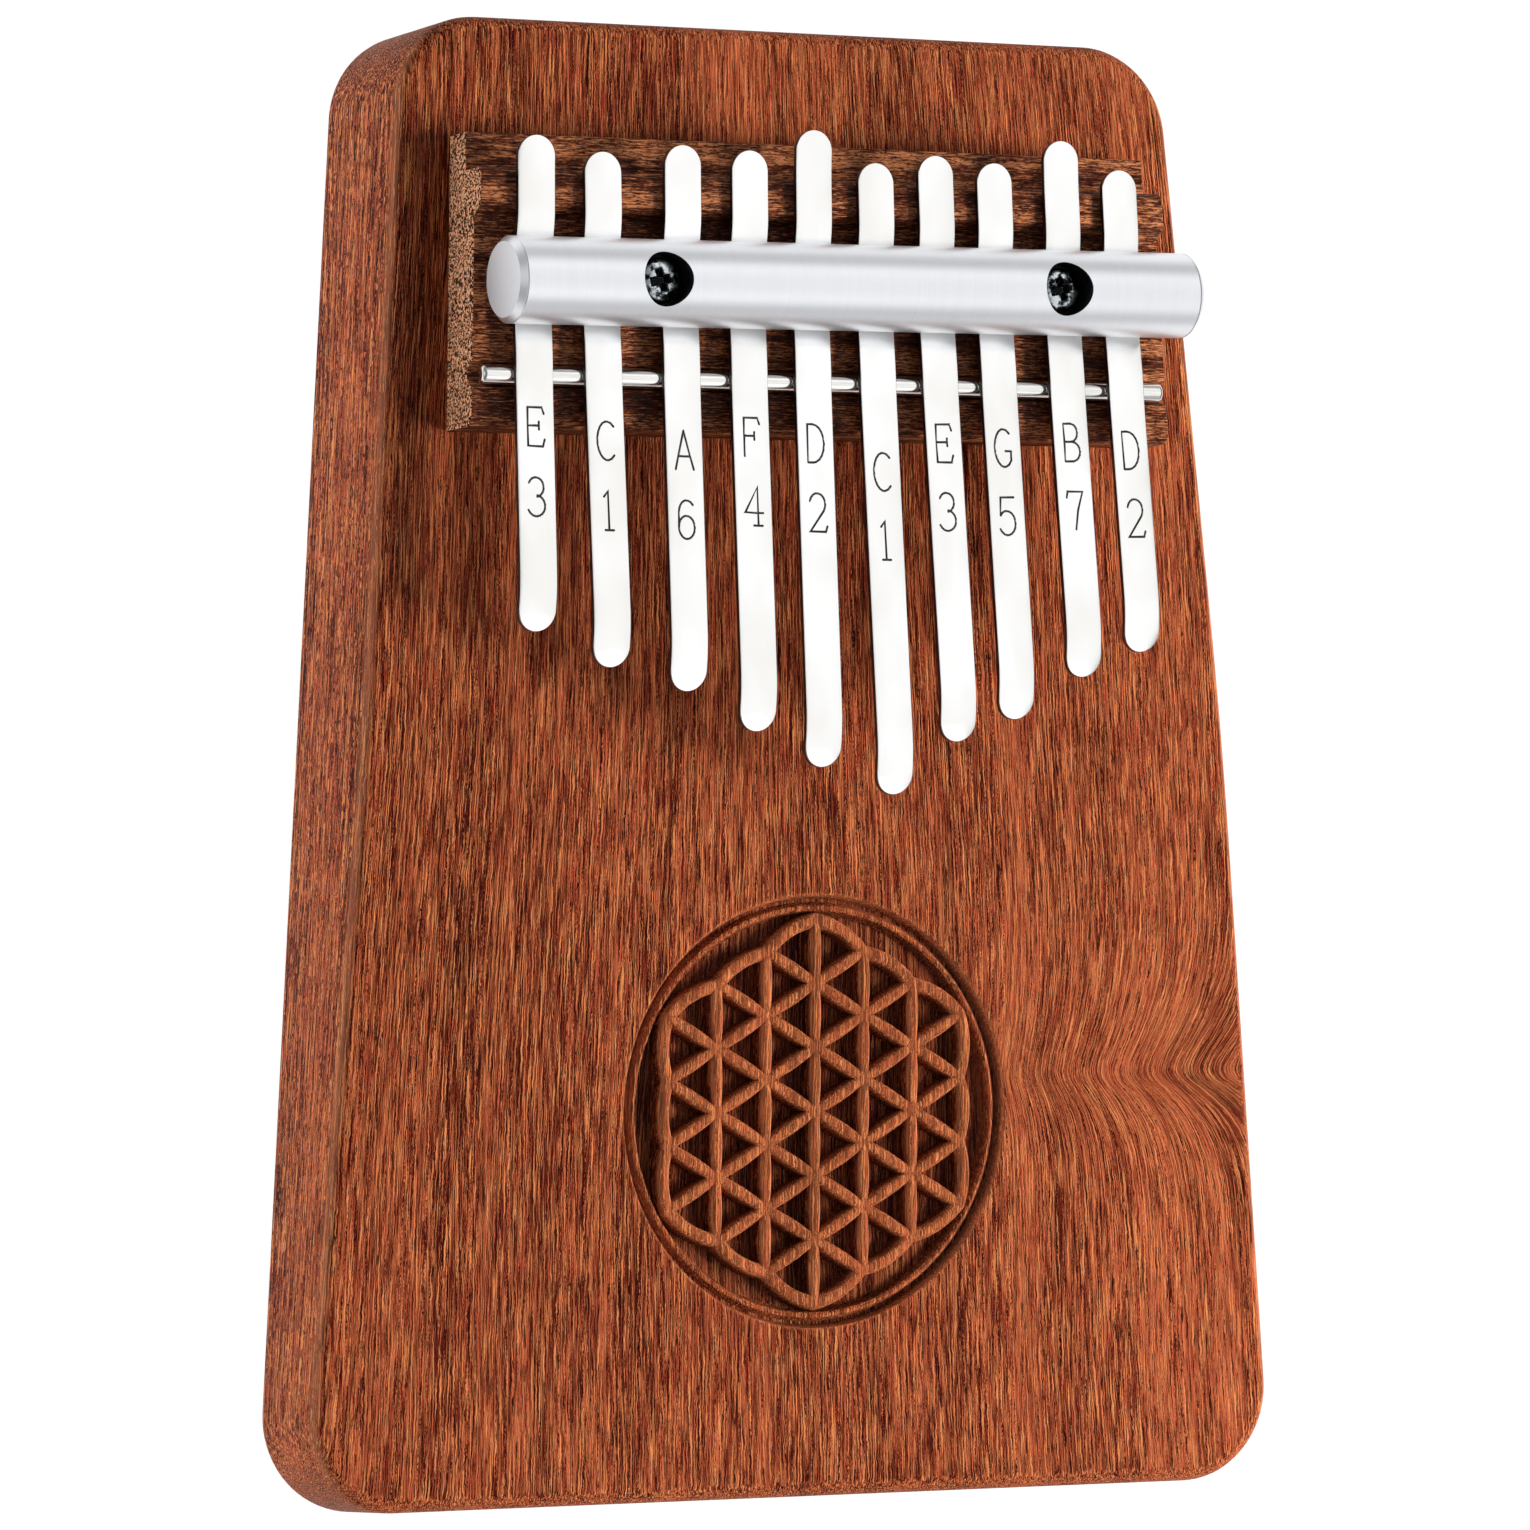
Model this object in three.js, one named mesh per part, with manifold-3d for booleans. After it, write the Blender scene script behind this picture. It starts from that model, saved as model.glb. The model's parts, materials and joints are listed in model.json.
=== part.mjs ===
// A ten-key mbira (thumb piano) with a solid tapered body. Millimetres, +Z up.
// It lies on its back: +Z points out of the front face and +Y runs towards the clamped ends of the tines.
// The origin is the centre of the flat back face.
import * as THREE from 'three';
import { mergeVertices } from 'three/addons/utils/BufferGeometryUtils.js';
import Module from 'manifold-3d';

const wasm = await Module();
wasm.setup();

// ---- Driving dimensions ----
const BODY_LENGTH = 180;
const TINE_END_WIDTH = 106;
const PLAYING_END_WIDTH = 135;
const TINE_END_THICKNESS = 20.9;
const PLAYING_END_THICKNESS = 15;
const BEND_Y = 3.4;              // where the front starts to slope down to the playing end
const BEND_SOFTNESS = 6;
const CORNER_RADIUS = 11.5;
const EDGE_RADIUS = 2;

const ROSETTE_RADIUS = 26.5;
const ROSETTE_X = 1.4;
const ROSETTE_Y = -42.9;
const ROSETTE_DEPTH = 1.5;

const SADDLE_LOW_Y = 39.3;       // the end of the saddle that faces the playing end
const SADDLE_LENGTH = 35.8;
const SADDLE_WIDTH = 96.8;       // at its low end, from which it narrows
const SADDLE_TAPER = 1.4;        // how much each side narrows over the saddle's length
const SADDLE_HEIGHT = 7;
const SADDLE_CHAMFER = 0.9;
const RIDGE_HEIGHT = 8.9;
const RIDGE_CHAMFER = 0.7;
const RIDGE_WIDTH = 4.5;         // from the step to where the ridge starts to slope down
const RIDGE_SLOPE_WIDTH = 1.2;
const STEP_HEIGHT = 4.5;
const STEP_WIDTH = 4.7;

const WIRE_Y = 45.6;
const WIRE_RADIUS = 1.25;
const WIRE_LENGTH = 94.3;
const WIRE_GAP = 0.2;

const ROD_Y = 56.6;
const ROD_RADIUS = 5.25;
const ROD_LENGTH = 94.2;
const ROD_CHAMFER = 0.7;
const ROD_SKEW = THREE.MathUtils.degToRad(0.5);

const SCREW_X = 27.6;            // along the rod, each side of its middle
const SCREW_HEAD_RADIUS = 2.75;
const SCREW_HEAD_HEIGHT = 1.9;
const SCREW_SHANK_RADIUS = 1.2;
const SCREW_LENGTH = 27;
const SCREW_RECESS = 1.8;        // from the top of the rod to the top of the head
const SCREW_POINT_LENGTH = 3;
const SLOT_LENGTH = 3.4;         // of each bar of the cross recess
const SLOT_WIDTH = 0.7;
const SLOT_DEPTH = 1.2;
const SLOT_TURN = THREE.MathUtils.degToRad(20);
const COUNTERBORE_RADIUS = 3.3;
const HOLE_GAP = 0.3;

const TINE_WIDTH = 4.9;
const TINE_THICKNESS = 0.8;
const CONTACT_GAP = 0.1;         // between a tine and what it bears on
const SPLIT_GAP = 0.3;           // between a tine's tail and its blade, over the wire
const TINE_RISE = Math.tan(THREE.MathUtils.degToRad(2.6));
const TIP_DROOP = 1;
const TIP_DROOP_LENGTH = 7;
const WIRE_FLAT = 1.6;           // how far each side of the wire's middle a tine runs level
const ROD_FLAT = 1.5;            // how far each side of the rod's middle a tine runs level
const ROD_CLEARANCE = 0.85;      // between the saddle and the underside of a tine under the rod
const RIDGE_RUN = [19.0, 25.4];  // where a tail lies level over the ridge, beyond the wire
const TAIL_RISE = [32.0, 0.4];   // a tail would be that much higher at that distance beyond the wire

// Each tine, from left to right: where it crosses the wire, how far its free end leans outwards to the
// left (degrees), its free length beyond the wire and the length of its tail.
const TINES = [
  { x: -40.8, lean: 1.4, free: 31.0, tail: 28.7 },
  { x: -31.5, lean: 0.5, free: 35.2, tail: 27.0 },
  { x: -20.9, lean: 1.0, free: 38.0, tail: 28.2 },
  { x: -11.7, lean: 0.9, free: 42.8, tail: 27.9 },
  { x: -2.9, lean: 0.9, free: 47.1, tail: 30.7 },
  { x: 6.1, lean: 0.0, free: 50.4, tail: 27.0 },
  { x: 14.8, lean: -0.7, free: 43.9, tail: 28.2 },
  { x: 23.1, lean: -0.8, free: 41.1, tail: 27.6 },
  { x: 32.8, lean: -1.2, free: 35.8, tail: 30.7 },
  { x: 41.2, lean: -1.5, free: 32.6, tail: 27.4 },
];

// ---- Heights that follow from them, above the flat part of the front face ----
const FRONT_SLOPE = (TINE_END_THICKNESS - PLAYING_END_THICKNESS) / (BEND_Y + BODY_LENGTH / 2);
const TINE_AT_WIRE = SADDLE_HEIGHT + WIRE_RADIUS + CONTACT_GAP;
const TINE_AT_RIDGE = RIDGE_HEIGHT + CONTACT_GAP;
const TINE_AT_ROD = SADDLE_HEIGHT + ROD_CLEARANCE;
const ROD_Z = TINE_AT_ROD + TINE_THICKNESS + CONTACT_GAP + ROD_RADIUS;
const SCREW_TOP_Z = ROD_Z + ROD_RADIUS - SCREW_RECESS;

const OVERSHOOT = 1;             // how far a cutter runs past what it cuts
const ROUND_SEGMENTS = 32;
const CORNER_STEPS = 7;          // of the body's outline
const EDGE_STEPS = 3;            // of the rounding between its sides and its faces
const SIDE_STATIONS = [-45, -20, -12, -5, 2, 8, 15, 25, 45];  // y, closer together round the bend

// ---- Materials ----
const surface = (color, roughness, metalness) => new THREE.MeshStandardMaterial({ color, roughness, metalness });
const bodyWood = surface(0x9a4f2e, 0.55, 0);
const saddleWood = surface(0x5a2f1c, 0.6, 0);
const steel = surface(0xd8d8d8, 0.2, 1);
const aluminium = surface(0xc4c6ca, 0.35, 1);
const blackSteel = surface(0x15171a, 0.25, 0.8);

// ---- Solids: closed meshes and the cuts made in them ----

// A closed mesh that shares its vertices, without the triangles that have shrunk to a line at an axis.
function closedMesh(geometry) {
  const bare = geometry.clone();
  bare.deleteAttribute('normal');
  bare.deleteAttribute('uv');
  const merged = mergeVertices(bare, 1e-4);
  const corners = merged.index.array;
  const kept = [];
  for (let i = 0; i < corners.length; i += 3) {
    const [a, b, c] = corners.slice(i, i + 3);
    if (a !== b && b !== c && c !== a) kept.push(a, b, c);
  }
  merged.setIndex(kept);
  return merged;
}

function toManifold(geometry) {
  const closed = closedMesh(geometry);
  return new wasm.Manifold(new wasm.Mesh({
    numProp: 3,
    vertProperties: new Float32Array(closed.attributes.position.array),
    triVerts: new Uint32Array(closed.index.array),
  }));
}

function fromManifold(solid) {
  const mesh = solid.getMesh();
  const geometry = new THREE.BufferGeometry();
  geometry.setAttribute('position', new THREE.Float32BufferAttribute(mesh.vertProperties, 3));
  geometry.setIndex([...mesh.triVerts]);
  return geometry;
}

function cut(geometry, cutters) {
  const solid = cutters.reduce((rest, cutter) => rest.subtract(toManifold(cutter)), toManifold(geometry));
  return fromManifold(solid);
}

// A turned solid along +Y from [radius, position] pairs that start and end on the axis.
function turned(profile, segments = ROUND_SEGMENTS) {
  return new THREE.LatheGeometry(profile.map(([radius, along]) => new THREE.Vector2(radius, along)), segments);
}

// A round cutter that stands on (x, y, bottom) and points up.
function drill(radius, x, y, bottom, top) {
  const cylinder = new THREE.CylinderGeometry(radius, radius, top - bottom, ROUND_SEGMENTS);
  return cylinder.rotateX(Math.PI / 2).translate(x, y, (top + bottom) / 2);
}

// ---- Body ----

function frontHeight(y) {
  const drop = BEND_SOFTNESS * Math.log1p(Math.exp((BEND_Y - y) / BEND_SOFTNESS));
  return TINE_END_THICKNESS - FRONT_SLOPE * drop;
}

// The tapered outline with rounded corners, anticlockwise from the middle of the playing end, moved
// inwards by inset. Point i and point (last - i) lie opposite each other.
function bodyOutline(inset) {
  const halfLength = BODY_LENGTH / 2;
  const taper = Math.atan((PLAYING_END_WIDTH - TINE_END_WIDTH) / 2 / BODY_LENGTH);
  const halfWidth = (y) => (PLAYING_END_WIDTH + TINE_END_WIDTH) / 4 - Math.tan(taper) * y;
  const centreX = (y) => halfWidth(y) - CORNER_RADIUS / Math.cos(taper);
  const low = -halfLength + CORNER_RADIUS;
  const high = halfLength - CORNER_RADIUS;
  const radius = CORNER_RADIUS - inset;
  const right = [];
  const arc = (cy, from, to) => {
    for (let i = 0; i <= CORNER_STEPS; i++) {
      const angle = from + ((to - from) * i) / CORNER_STEPS;
      right.push([centreX(cy) + radius * Math.cos(angle), cy + radius * Math.sin(angle)]);
    }
  };
  arc(low, -Math.PI / 2, taper);
  for (const y of SIDE_STATIONS) {
    right.push([halfWidth(y) - inset / Math.cos(taper), y]);
  }
  arc(high, taper, Math.PI / 2);
  return right.concat([...right].reverse().map(([x, y]) => [-x, y]));
}

// Rings of the outline stacked from the back face's edge to the front face's, closed by two caps of
// crosswise strips.
function bodyBlank() {
  const rounding = [];
  for (let i = 0; i <= EDGE_STEPS; i++) {
    const angle = (Math.PI / 2) * (i / EDGE_STEPS);
    rounding.push({ inset: EDGE_RADIUS * (1 - Math.sin(angle)), lift: EDGE_RADIUS * (1 - Math.cos(angle)) });
  }
  const ring = (inset, heightAt) => bodyOutline(inset).map(([x, y]) => [x, y, heightAt(y)]);
  const back = rounding.map(({ inset, lift }) => ring(inset, () => lift));
  const front = rounding.map(({ inset, lift }) => ring(inset, (y) => frontHeight(y) - lift));
  const rings = [...back, ...front.reverse()];
  const count = rings[0].length;
  const index = [];
  for (let level = 0; level + 1 < rings.length; level++) {
    for (let i = 0; i < count; i++) {
      const a = level * count + i;
      const b = level * count + ((i + 1) % count);
      index.push(a, b, b + count, a, b + count, a + count);
    }
  }
  const frontStart = (rings.length - 1) * count;
  for (let i = 0; i + 1 < count / 2; i++) {
    const [a, b, c, d] = [i, i + 1, count - 2 - i, count - 1 - i];
    index.push(a, c, b, a, d, c);
    index.push(frontStart + a, frontStart + b, frontStart + c, frontStart + a, frontStart + c, frontStart + d);
  }
  const geometry = new THREE.BufferGeometry();
  geometry.setAttribute('position', new THREE.Float32BufferAttribute(rings.flat(2), 3));
  geometry.setIndex(index);
  return geometry;
}

function screwPlaces() {
  return [-1, 1].map((side) => ({
    x: side * SCREW_X * Math.cos(ROD_SKEW),
    y: ROD_Y + side * SCREW_X * Math.sin(ROD_SKEW),
  }));
}

function bodyGeometry() {
  const recess = new THREE.CylinderGeometry(ROSETTE_RADIUS, ROSETTE_RADIUS, 2 * ROSETTE_DEPTH, 48);
  recess.rotateX(Math.PI / 2 + Math.atan(FRONT_SLOPE));
  recess.translate(ROSETTE_X, ROSETTE_Y, frontHeight(ROSETTE_Y));
  const pilotDepth = SCREW_LENGTH - (SCREW_TOP_Z - SCREW_HEAD_HEIGHT) + OVERSHOOT;
  const pilots = screwPlaces().map(({ x, y }) => drill(
    SCREW_SHANK_RADIUS + HOLE_GAP, x, y, TINE_END_THICKNESS - pilotDepth, TINE_END_THICKNESS + OVERSHOOT));
  return cut(bodyBlank(), [recess, ...pilots]);
}

// ---- Saddle: one block with a ridge, a groove for the wire and a low step at the tine end ----

function saddleGeometry() {
  const low = SADDLE_LOW_Y;
  const high = SADDLE_LOW_Y + SADDLE_LENGTH;
  const step = high - STEP_WIDTH;
  const slope = step - RIDGE_WIDTH;
  const grooveRadius = WIRE_RADIUS + WIRE_GAP;
  const section = new THREE.Shape();
  section.moveTo(low, CONTACT_GAP);
  section.lineTo(high, CONTACT_GAP);
  section.lineTo(high, STEP_HEIGHT);
  section.lineTo(step, STEP_HEIGHT);
  section.lineTo(step, RIDGE_HEIGHT - RIDGE_CHAMFER);
  section.lineTo(step - RIDGE_CHAMFER, RIDGE_HEIGHT);
  section.lineTo(slope, RIDGE_HEIGHT);
  section.lineTo(slope - RIDGE_SLOPE_WIDTH, SADDLE_HEIGHT);
  section.lineTo(WIRE_Y + grooveRadius, SADDLE_HEIGHT);
  section.absarc(WIRE_Y, SADDLE_HEIGHT, grooveRadius, 0, -Math.PI, true);
  section.lineTo(low + SADDLE_CHAMFER, SADDLE_HEIGHT);
  section.lineTo(low, SADDLE_HEIGHT - SADDLE_CHAMFER);
  section.closePath();
  const block = new THREE.ExtrudeGeometry(section, { depth: 1, bevelEnabled: false, curveSegments: 8 });
  const places = block.attributes.position;
  for (let i = 0; i < places.count; i++) {
    const y = places.getX(i);
    const z = places.getY(i);
    const halfWidth = SADDLE_WIDTH / 2 - (SADDLE_TAPER * (y - low)) / SADDLE_LENGTH;
    places.setXYZ(i, (2 * places.getZ(i) - 1) * halfWidth, y, z + TINE_END_THICKNESS);
  }
  const holes = screwPlaces().map(({ x, y }) => drill(
    SCREW_SHANK_RADIUS + HOLE_GAP, x, y, TINE_END_THICKNESS - OVERSHOOT, TINE_END_THICKNESS + RIDGE_HEIGHT));
  return cut(block, holes);
}

// ---- Wire, rod and screws ----

function wireGeometry() {
  const half = WIRE_LENGTH / 2;
  const rounding = 0.5;
  return turned([
    [0, -half],
    [WIRE_RADIUS - rounding, -half],
    [WIRE_RADIUS, -half + rounding],
    [WIRE_RADIUS, half - rounding],
    [WIRE_RADIUS - rounding, half],
    [0, half],
  ], 16).rotateZ(-Math.PI / 2);
}

function rodGeometry() {
  const half = ROD_LENGTH / 2;
  const bar = turned([
    [0, -half],
    [ROD_RADIUS - ROD_CHAMFER, -half],
    [ROD_RADIUS, -half + ROD_CHAMFER],
    [ROD_RADIUS, half - ROD_CHAMFER],
    [ROD_RADIUS - ROD_CHAMFER, half],
    [0, half],
  ]).rotateZ(-Math.PI / 2);
  const seat = ROD_RADIUS - SCREW_RECESS - SCREW_HEAD_HEIGHT - CONTACT_GAP;
  const past = ROD_RADIUS + OVERSHOOT;
  const bores = [-SCREW_X, SCREW_X].flatMap((x) => [
    drill(COUNTERBORE_RADIUS, x, 0, seat, past),
    drill(SCREW_SHANK_RADIUS + HOLE_GAP, x, 0, -past, past),
  ]);
  return cut(bar, bores);
}

// A pan-head wood screw that hangs down from its head's top at z = 0, with a cross recess.
function screwGeometry() {
  const neck = -SCREW_HEAD_HEIGHT;
  const tip = neck - SCREW_LENGTH;
  const domeEdge = neck + 0.5 * SCREW_HEAD_HEIGHT;
  const domeRadius = 0.8 * SCREW_HEAD_RADIUS;
  const domeDrop = 0.1 * SCREW_HEAD_HEIGHT;
  const screw = turned([
    [0, tip],
    [SCREW_SHANK_RADIUS, tip + SCREW_POINT_LENGTH],
    [SCREW_SHANK_RADIUS, neck],
    [SCREW_HEAD_RADIUS, neck],
    [SCREW_HEAD_RADIUS, domeEdge],
    [domeRadius, -domeDrop],
    [0, 0],
  ], 24).rotateX(Math.PI / 2);
  const slots = [SLOT_TURN, SLOT_TURN + Math.PI / 2].map((turn) =>
    new THREE.BoxGeometry(SLOT_LENGTH, SLOT_WIDTH, 2 * SLOT_DEPTH).rotateZ(turn));
  return cut(screw, slots);
}

// ---- Tines: flat strips with round ends, in a frame whose origin is over the wire ----

// A strip along y with a rectangular section: its lower side at z, half as wide as it is at each station.
function strip(stations) {
  const positions = stations.flatMap(({ y, z, half }) => [
    -half, y, z,
    half, y, z,
    half, y, z + TINE_THICKNESS,
    -half, y, z + TINE_THICKNESS,
  ]);
  const index = [0, 1, 2, 0, 2, 3];
  const last = 4 * (stations.length - 1);
  for (let start = 0; start < last; start += 4) {
    for (let side = 0; side < 4; side++) {
      const a = start + side;
      const b = start + ((side + 1) % 4);
      index.push(a, a + 4, b + 4, a, b + 4, b);
    }
  }
  index.push(last, last + 2, last + 1, last, last + 3, last + 2);
  const geometry = new THREE.BufferGeometry();
  geometry.setAttribute('position', new THREE.Float32BufferAttribute(positions, 3));
  geometry.setIndex(index);
  return geometry;
}

// Stations of a round end whose outermost point is at y = end; outwards is +1 towards the tail end.
function roundEnd(end, outwards, heightAt) {
  const radius = TINE_WIDTH / 2;
  const partsOfRadius = [0.98, 0.9, 0.7, 0.4, 0];
  return partsOfRadius.map((part) => {
    const y = end - outwards * radius * (1 - part);
    return { y, z: heightAt(y), half: radius * Math.sqrt(1 - part * part) };
  });
}

function interpolate(points, y) {
  const next = points.findIndex(([py]) => py >= y);
  if (next <= 0) return next === 0 ? points[0][1] : points[points.length - 1][1];
  const [y0, z0] = points[next - 1];
  const [y1, z1] = points[next];
  return z0 + ((z1 - z0) * (y - y0)) / (y1 - y0);
}

// The tail runs flat over the wire, dips under the rod, crosses the ridge and rises a little beyond it.
function tailGeometry({ tail }) {
  const rod = ROD_Y - WIRE_Y;
  const [ridgeStart, ridgeEnd] = RIDGE_RUN;
  const [riseAt, rise] = TAIL_RISE;
  const line = [
    [SPLIT_GAP / 2, TINE_AT_WIRE],
    [WIRE_FLAT, TINE_AT_WIRE],
    [rod - ROD_FLAT, TINE_AT_ROD],
    [rod + ROD_FLAT, TINE_AT_ROD],
    [ridgeStart, TINE_AT_RIDGE],
    [ridgeEnd, TINE_AT_RIDGE],
    [riseAt, TINE_AT_RIDGE + rise],
  ];
  const heightAt = (y) => interpolate(line, y);
  const half = TINE_WIDTH / 2;
  const end = roundEnd(tail, 1, heightAt).reverse();
  const straight = line.filter(([y]) => y < end[0].y - CONTACT_GAP).map(([y, z]) => ({ y, z, half }));
  return strip([...straight, ...end]);
}

// The blade rises from the wire at a steady angle, and its last stretch bends down.
function bladeGeometry({ free }) {
  const flatEnd = -WIRE_FLAT;
  const droopStart = -free + TIP_DROOP_LENGTH;
  const heightAt = (y) => {
    const rise = TINE_RISE * Math.max(0, flatEnd - y);
    const bend = Math.max(0, (droopStart - y) / TIP_DROOP_LENGTH);
    return TINE_AT_WIRE + rise - (TIP_DROOP + TINE_RISE * TIP_DROOP_LENGTH) * bend * bend;
  };
  const half = TINE_WIDTH / 2;
  const straight = [droopStart, (droopStart + flatEnd) / 2, flatEnd, -SPLIT_GAP / 2]
    .map((y) => ({ y, z: heightAt(y), half }));
  return strip([...roundEnd(-free, -1, heightAt), ...straight]);
}

// ---- Assembly ----

const mbira = new THREE.Group();

function place(name, geometry, material, x = 0, y = 0, z = 0, turn = 0) {
  const mesh = new THREE.Mesh(closedMesh(geometry), material);
  mesh.name = name;
  mesh.position.set(x, y, z);
  mesh.rotation.z = turn;
  mbira.add(mesh);
}

place('body', bodyGeometry(), bodyWood);
place('saddle', saddleGeometry(), saddleWood);
place('bridge_wire', wireGeometry(), steel, 0, WIRE_Y, TINE_END_THICKNESS + SADDLE_HEIGHT);
place('clamp_rod', rodGeometry(), aluminium, 0, ROD_Y, TINE_END_THICKNESS + ROD_Z, ROD_SKEW);
screwPlaces().forEach(({ x, y }, i) => {
  const name = i === 0 ? 'clamp_screw_left' : 'clamp_screw_right';
  place(name, screwGeometry(), blackSteel, x, y, TINE_END_THICKNESS + SCREW_TOP_Z);
});
TINES.forEach((tine, i) => {
  const name = `tine_${String(i + 1).padStart(2, '0')}`;
  const turn = -THREE.MathUtils.degToRad(tine.lean);
  place(`${name}_tail`, tailGeometry(tine), steel, tine.x, WIRE_Y, TINE_END_THICKNESS, turn);
  place(`${name}_blade`, bladeGeometry(tine), steel, tine.x, WIRE_Y, TINE_END_THICKNESS, turn);
});

export default mbira;
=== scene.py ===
"""Looks of a ten-key mbira (thumb piano) that lies on its back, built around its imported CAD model.

Lengths are in millimetres until a mesh is made. +Z points out of the front face and +Y runs towards the
clamped ends of the tines.
"""

import json
import math

import bmesh
import bpy
from mathutils import Matrix, Quaternion, Vector
from mathutils.geometry import delaunay_2d_cdt


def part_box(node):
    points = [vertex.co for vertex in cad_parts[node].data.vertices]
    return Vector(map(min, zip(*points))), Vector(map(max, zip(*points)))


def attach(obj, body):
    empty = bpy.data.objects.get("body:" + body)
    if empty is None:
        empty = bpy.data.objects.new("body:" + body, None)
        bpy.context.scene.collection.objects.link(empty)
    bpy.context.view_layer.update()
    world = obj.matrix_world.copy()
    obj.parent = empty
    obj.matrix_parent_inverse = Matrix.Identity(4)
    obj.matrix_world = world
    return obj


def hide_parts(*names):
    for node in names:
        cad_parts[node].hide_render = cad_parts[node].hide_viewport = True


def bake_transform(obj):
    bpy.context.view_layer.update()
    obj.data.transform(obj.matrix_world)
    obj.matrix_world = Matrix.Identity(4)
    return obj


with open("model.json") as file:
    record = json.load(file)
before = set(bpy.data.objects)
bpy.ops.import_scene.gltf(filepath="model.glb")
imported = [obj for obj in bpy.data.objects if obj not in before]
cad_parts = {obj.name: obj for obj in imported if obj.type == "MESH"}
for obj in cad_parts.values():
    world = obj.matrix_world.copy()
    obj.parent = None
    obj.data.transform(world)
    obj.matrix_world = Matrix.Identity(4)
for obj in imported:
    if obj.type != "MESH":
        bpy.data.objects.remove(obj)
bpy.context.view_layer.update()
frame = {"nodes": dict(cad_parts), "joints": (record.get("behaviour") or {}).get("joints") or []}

MM = 0.001
WELD = 0.002  # vertices closer than this are one

# ---- Driving dimensions, as in the CAD model ----
TINE_END_WIDTH = 106
PLAYING_END_WIDTH = 135
PLAYING_END_THICKNESS = 15
BEND_Y = 3.4
BEND_SOFTNESS = 6
CORNER_RADIUS = 11.5
EDGE_RADIUS = 2

ROSETTE_CENTRE = (1.4, -42.9)
ROSETTE_RADIUS = 26.5
NODE_SPACING = 7.85  # of the rosette's lattice
NODES_PER_SIDE = 3  # steps along one side of the lattice's hexagon

SADDLE_TAPER = 1.4
SADDLE_HEIGHT = 7
RIDGE_HEIGHT = 8.9
STEP_HEIGHT = 4.5

WIRE_RADIUS = 1.25
ROD_RADIUS = 5.25
ROD_LENGTH = 94.2
ROD_SKEW = math.radians(0.5)
ROD_CHAMFER = 0.7
COUNTERBORE_RADIUS = 3.3
SCREW_HEAD_RADIUS = 2.75
SCREW_HEAD_HEIGHT = 1.9
SCREW_SHANK_RADIUS = 1.2
SCREW_HOLE_RADIUS = 1.5

TINE_WIDTH = 4.9
TINE_THICKNESS = 0.8
TINE_EDGE = 0.09
TINE_RISE = math.tan(math.radians(2.6))
TIP_DROOP = 1
TIP_DROOP_LENGTH = 7


def box_mm(node):
    """Lowest and highest corner of a CAD node, in millimetres."""
    low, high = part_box(node)
    return low / MM, high / MM


BODY_LOW, BODY_HIGH = box_mm("body")
SADDLE_LOW, SADDLE_HIGH = box_mm("saddle")
ROD_LOW, ROD_HIGH = box_mm("clamp_rod")
WIRE_LOW, WIRE_HIGH = box_mm("bridge_wire")
FRONT_Z = BODY_HIGH.z
BODY_LENGTH = BODY_HIGH.y - BODY_LOW.y
FRONT_SLOPE = (FRONT_Z - PLAYING_END_THICKNESS) / (BEND_Y + BODY_LENGTH / 2)


# ---- Camera and light, in metres and degrees ----

CAMERA_YAW = 28.05
CAMERA_PITCH = -3.17
CAMERA_ROLL = -1.447
CAMERA_DISTANCE = 1.0475
CAMERA_TARGET = (0.0006, 0.0002, 0.0083)
CAMERA_LENS = 199.1
LIGHT_DISTANCE = 1.8
AMBIENT = 0.22


def turned_towards(direction):
    """A rotation that points a camera or a light along direction."""
    return Vector(direction).to_track_quat("-Z", "Y")


def make_camera():
    """A long lens, above and to the left of the object."""
    yaw, pitch, roll = (math.radians(a) for a in (CAMERA_YAW, CAMERA_PITCH, CAMERA_ROLL))
    back = Vector((-math.sin(yaw) * math.cos(pitch), math.sin(pitch), math.cos(yaw) * math.cos(pitch)))
    right = Vector((0, 1, 0)).cross(back).normalized()
    upright = Matrix((right, back.cross(right), back)).transposed().to_quaternion()
    data = bpy.data.cameras.new("camera")
    data.lens = CAMERA_LENS
    data.sensor_width = 36
    data.clip_start = 0.05
    data.clip_end = 20
    camera = bpy.data.objects.new("camera", data)
    camera.rotation_mode = "QUATERNION"
    camera.location = Vector(CAMERA_TARGET) + back * CAMERA_DISTANCE
    camera.rotation_quaternion = upright @ Quaternion((0, 0, 1), roll)
    bpy.context.scene.collection.objects.link(camera)
    bpy.context.scene.camera = camera


def area_light(name, direction, size, radiance, seen_in):
    """A softbox that faces the object from direction and looks as bright as radiance. size is its length
    along the object and its other side. It either lights the colours or is seen in the mirrors."""
    data = bpy.data.lights.new(name, "AREA")
    data.shape = "RECTANGLE"
    data.size, data.size_y = size
    data.energy = radiance * math.pi * size[0] * size[1]
    light = bpy.data.objects.new(name, data)
    light.visible_glossy = seen_in == "mirrors"
    light.visible_diffuse = seen_in == "colours"
    light.rotation_mode = "QUATERNION"
    light.location = Vector(direction).normalized() * LIGHT_DISTANCE
    light.rotation_quaternion = turned_towards(-light.location)
    bpy.context.scene.collection.objects.link(light)


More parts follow.
